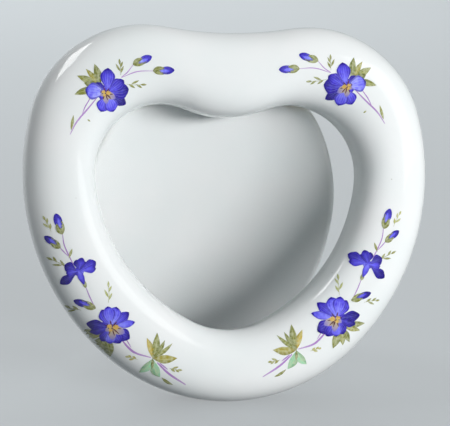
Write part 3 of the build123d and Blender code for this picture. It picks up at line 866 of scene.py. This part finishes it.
def leg_outline():
    """Give the leg's outline: an oval with its top corners cut away beside the barrel, all corners soft."""
    upper = leg_widest_drop + leg_heel
    shoulder = math.asin((leg_widest_drop - notch_drop) / upper)
    crown = math.acos(barrel_half / leg_half)
    right = []
    steps = 48
    for k in range(steps):
        angle = crown + (math.pi / 2 - crown) * (1 - k / steps)
        right.append((leg_half * math.cos(angle), upper * math.sin(angle) - leg_widest_drop))
    right.append((barrel_half, upper * math.sin(crown) - leg_widest_drop))
    right.append((barrel_half, -notch_drop))
    for k in range(steps + 1):
        angle = shoulder * (1 - k / steps)
        right.append((leg_half * math.cos(angle), upper * math.sin(angle) - leg_widest_drop))
    for k in range(1, steps):
        angle = math.pi / 2 * k / steps
        right.append((leg_half * math.cos(angle), -leg_lower * math.sin(angle) - leg_widest_drop))
    right.append((0, -leg_lower - leg_widest_drop))
    corners = [Vector(spot) for spot in right + [(-x, y) for x, y in reversed(right[1:-1])]]
    even = []
    spare = 0.0
    for i, corner in enumerate(corners):
        run = corners[(i + 1) % len(corners)] - corner
        while spare < run.length:
            even.append(corner + run * (spare / run.length))
            spare += outline_step
        spare -= run.length
    return eased(even, corner_easing)


form = plate("leg_plate", leg_outline(), leg_thickness, leg_edge)
for k in range(1, bend_strips):
    strip_x = leg_half * (2 * k / bend_strips - 1)
    bmesh.ops.bisect_plane(form, geom=form.verts[:] + form.edges[:] + form.faces[:],
                           plane_co=(strip_x, 0, 0), plane_no=(1, 0, 0), dist=10 * same_point)
for spot in form.verts:
    bend = leg_hollow - math.sqrt(leg_hollow**2 - spot.co.x**2)
    spot.co.z += leg_face - leg_thickness / 2 + bend
hinge_line = Matrix.Rotation(math.pi / 2, 4, "Y")
barrel = round_bar(barrel_radius, -barrel_half, barrel_half, hinge_line)
bore = round_bar(bore_radius, -2 * barrel_half, 2 * barrel_half, hinge_line)
bored_mesh = combine(combine(mesh_of(form, "leg_plate"), barrel, "UNION"), bore, "DIFFERENCE")
form = bmesh.new()
form.from_mesh(bored_mesh)
bmesh.ops.transform(form, matrix=leg_place, verts=form.verts)
new_piece("easel_leg_glazed", glazed_mesh(form, "easel_leg_glazed"), glazed_porcelain, rides="leg",
          replaces="easel_leg")

# Hinge washers
# Two thin washers punched from red fibre board. One lies at each end of the barrel, held by the pin, and
# keeps the brass ears off the porcelain.
washer_edge = 0.08 * mm
# Vulcanised fibre: dense matt red-brown board with darker flecks about a millimetre long.
red_fibre, tree, spots = new_material("red vulcanised fibre")
flecks = put(tree, "ShaderNodeTexNoise", {"Vector": spots, "Scale": 1 / (1.0 * mm), "Detail": 4.0})
board = put(tree, "ShaderNodeValToRGB", {"Fac": flecks})
set_ramp(board, (0.3, "#6E3326"), (0.7, "#8A4634"))
shader = put(tree, "ShaderNodeBsdfPrincipled", {"Base Color": board, "Roughness": 0.75})
put(tree, "ShaderNodeOutputMaterial", {"Surface": shader})
new_piece("hinge_washers_fibre", softened("hinge_washers", washer_edge, 2), red_fibre, rides="frame",
          replaces="hinge_washers")

# Hinge pin and its cap
# A headed brass pin, turned from rod, that runs through ears, washers and barrel, and a turned brass cap
# that is pushed on its plain end.
pin_edge = 0.2 * mm
for node in ("hinge_pin", "pin_cap"):
    new_piece(node + "_brass", softened(node, pin_edge), satin_brass, rides="frame",
              replaces=node)

# Stop pad
# A strip of dark green wool felt, punched out and glued to the ring's back, that the leg's heel stops
# against without a knock.
pad_edge = 0.3 * mm
pad_mesh_step = 0.6 * mm
pad_glue_line = 0.05 * mm
pad_fuzz = 0.12 * mm
pad_tuft = 0.7 * mm
# Pressed felt: tangled fibres with no weave, drawn about 0.4 mm across, and a soft sheen on the nap.
wool_felt, tree, spots = new_material("pressed wool felt")
fibres = put(tree, "ShaderNodeTexNoise", {"Vector": spots, "Scale": 1 / (0.4 * mm), "Detail": 5.0,
                                          "Roughness": 0.7})
wool = put(tree, "ShaderNodeValToRGB", {"Fac": fibres})
set_ramp(wool, (0.3, "#2A352E"), (0.7, "#4A5A4E"))
nap = put(tree, "ShaderNodeBump", {"Height": fibres, "Strength": 0.7, "Distance": 0.15 * mm})
shader = put(tree, "ShaderNodeBsdfPrincipled", {"Base Color": wool, "Roughness": 0.95, "Sheen Weight": 0.4,
                                                "Normal": nap})
put(tree, "ShaderNodeOutputMaterial", {"Surface": shader})
form = bmesh.new()
form.from_mesh(softened("stop_pad", pad_edge))
bmesh.ops.triangulate(form, faces=form.faces)
for _ in range(4):
    long_edges = [edge for edge in form.edges if edge.calc_length() > pad_mesh_step]
    bmesh.ops.subdivide_edges(form, edges=long_edges, cuts=1)
    bmesh.ops.triangulate(form, faces=form.faces)
form.normal_update()
for spot in form.verts:
    off_ring = (ring_place.inverted() @ spot.co).z
    if off_ring < -pad_glue_line:
        spot.co -= spot.normal * pad_fuzz * (0.5 + 0.5 * noise.noise(spot.co / pad_tuft))
new_piece("stop_pad_felt", mesh_of(form, "stop_pad_felt"), wool_felt, rides="frame",
          replaces="stop_pad", smooth_angle=80)

# Table, light and camera
# A plain pale table top in a dim room. A wide low lamp right of the camera lights the front, a smaller
# one draws the glaze's highlights, and others at the left and behind light the rim and the back.
table_size = 8.0
table_glow = 0.44
# Matt paint that looks as pale as it is but throws little light back up on the frame.
table_paint, tree, _ = new_material("pale matt table")
rays = put(tree, "ShaderNodeLightPath").outputs
seen = put(tree, "ShaderNodeMath", {0: rays["Is Camera Ray"], 1: rays["Is Glossy Ray"]},
           operation="MAXIMUM")
seen = put(tree, "ShaderNodeMath", {0: seen, 1: rays["Is Transmission Ray"]}, operation="MAXIMUM")
glow = put(tree, "ShaderNodeMath", {0: seen, 1: table_glow}, operation="MULTIPLY")
shader = put(tree, "ShaderNodeBsdfPrincipled", {"Base Color": linear("#6A7073"), "Roughness": 0.8,
                                                "Emission Color": linear("#E4E8EA"),
                                                "Emission Strength": glow})
put(tree, "ShaderNodeOutputMaterial", {"Surface": shader})
form = bmesh.new()
bmesh.ops.create_grid(form, x_segments=4, y_segments=4, size=table_size / 2)
table = bpy.data.objects.new("table_top", mesh_of(form, "table_top"))
table.data.materials.append(table_paint)
bpy.context.scene.collection.objects.link(table)

aim = Vector((0.0, 0.012, 0.0575))


def way_to(azimuth, elevation):
    """Give the way to a place round the frame: degrees to the right of its front, and above the table."""
    turn = math.radians(azimuth)
    lift = math.radians(elevation)
    return Vector((math.sin(turn) * math.cos(lift), -math.cos(turn) * math.cos(lift), math.sin(lift)))


def soft_box(name, azimuth, elevation, distance, size, power, mirrored=True, lighting=True):
    """Hang an area lamp that faces the frame; it may be kept out of mirroring or out of lighting it."""
    lamp = bpy.data.lights.new(name, "AREA")
    lamp.shape = "RECTANGLE"
    lamp.size, lamp.size_y = size
    lamp.energy = power
    holder = bpy.data.objects.new(name, lamp)
    holder.location = aim + distance * way_to(azimuth, elevation)
    holder.rotation_euler = (aim - holder.location).to_track_quat("-Z", "Y").to_euler()
    holder.visible_glossy = mirrored
    holder.visible_diffuse = lighting
    holder.visible_camera = False
    bpy.context.scene.collection.objects.link(holder)


soft_box("main_box", 28, 17, distance=0.9, size=(0.6, 0.15), power=7.8, mirrored=False)
soft_box("highlight_box", 50, 28, distance=0.9, size=(0.5, 0.5), power=1.2)
soft_box("rim_box", -110, 44, distance=1.0, size=(0.5, 0.4), power=3.2, mirrored=False)
# A card that lights nothing: it only shows in the glaze, as a white streak along the upper left rim.
soft_box("rim_card", -116, 51, distance=1.0, size=(0.6, 0.3), power=3.6, lighting=False)
soft_box("back_box", 180, 24, distance=1.1, size=(1.0, 0.6), power=10.0, mirrored=False)

# The room is dim, but its pale walls still show in the glaze and the brass.
world = bpy.data.worlds.new("studio")
bpy.context.scene.world = world
world.use_nodes = True
tree = world.node_tree
tree.nodes.clear()
rays = put(tree, "ShaderNodeLightPath").outputs
room = put(tree, "ShaderNodeMapRange", {"Value": rays["Is Glossy Ray"], "To Min": 0.04, "To Max": 0.45})
walls = put(tree, "ShaderNodeBackground", {"Color": linear("#DCE9F0"), "Strength": room})
put(tree, "ShaderNodeOutputWorld", {"Surface": walls})

camera_azimuth = -13.5
camera_elevation = 14
camera_roll = math.radians(3.25)
camera_distance = 0.70
camera_aim = aim + Vector((-0.85 * mm, 0, 0.65 * mm))
frame_width = 144.1 * mm
camera = bpy.data.cameras.new("camera")
camera.sensor_width = 36.0
camera.lens = camera.sensor_width * camera_distance / frame_width
camera_holder = bpy.data.objects.new("camera", camera)
view = way_to(camera_azimuth, camera_elevation)
camera_holder.location = camera_aim + camera_distance * view
level = (-view).to_track_quat("-Z", "Y").to_matrix()
camera_holder.rotation_euler = (level @ Matrix.Rotation(camera_roll, 3, "Z")).to_euler()
bpy.context.scene.collection.objects.link(camera_holder)
bpy.context.scene.camera = camera_holder
bpy.context.scene.view_settings.view_transform = "Standard"
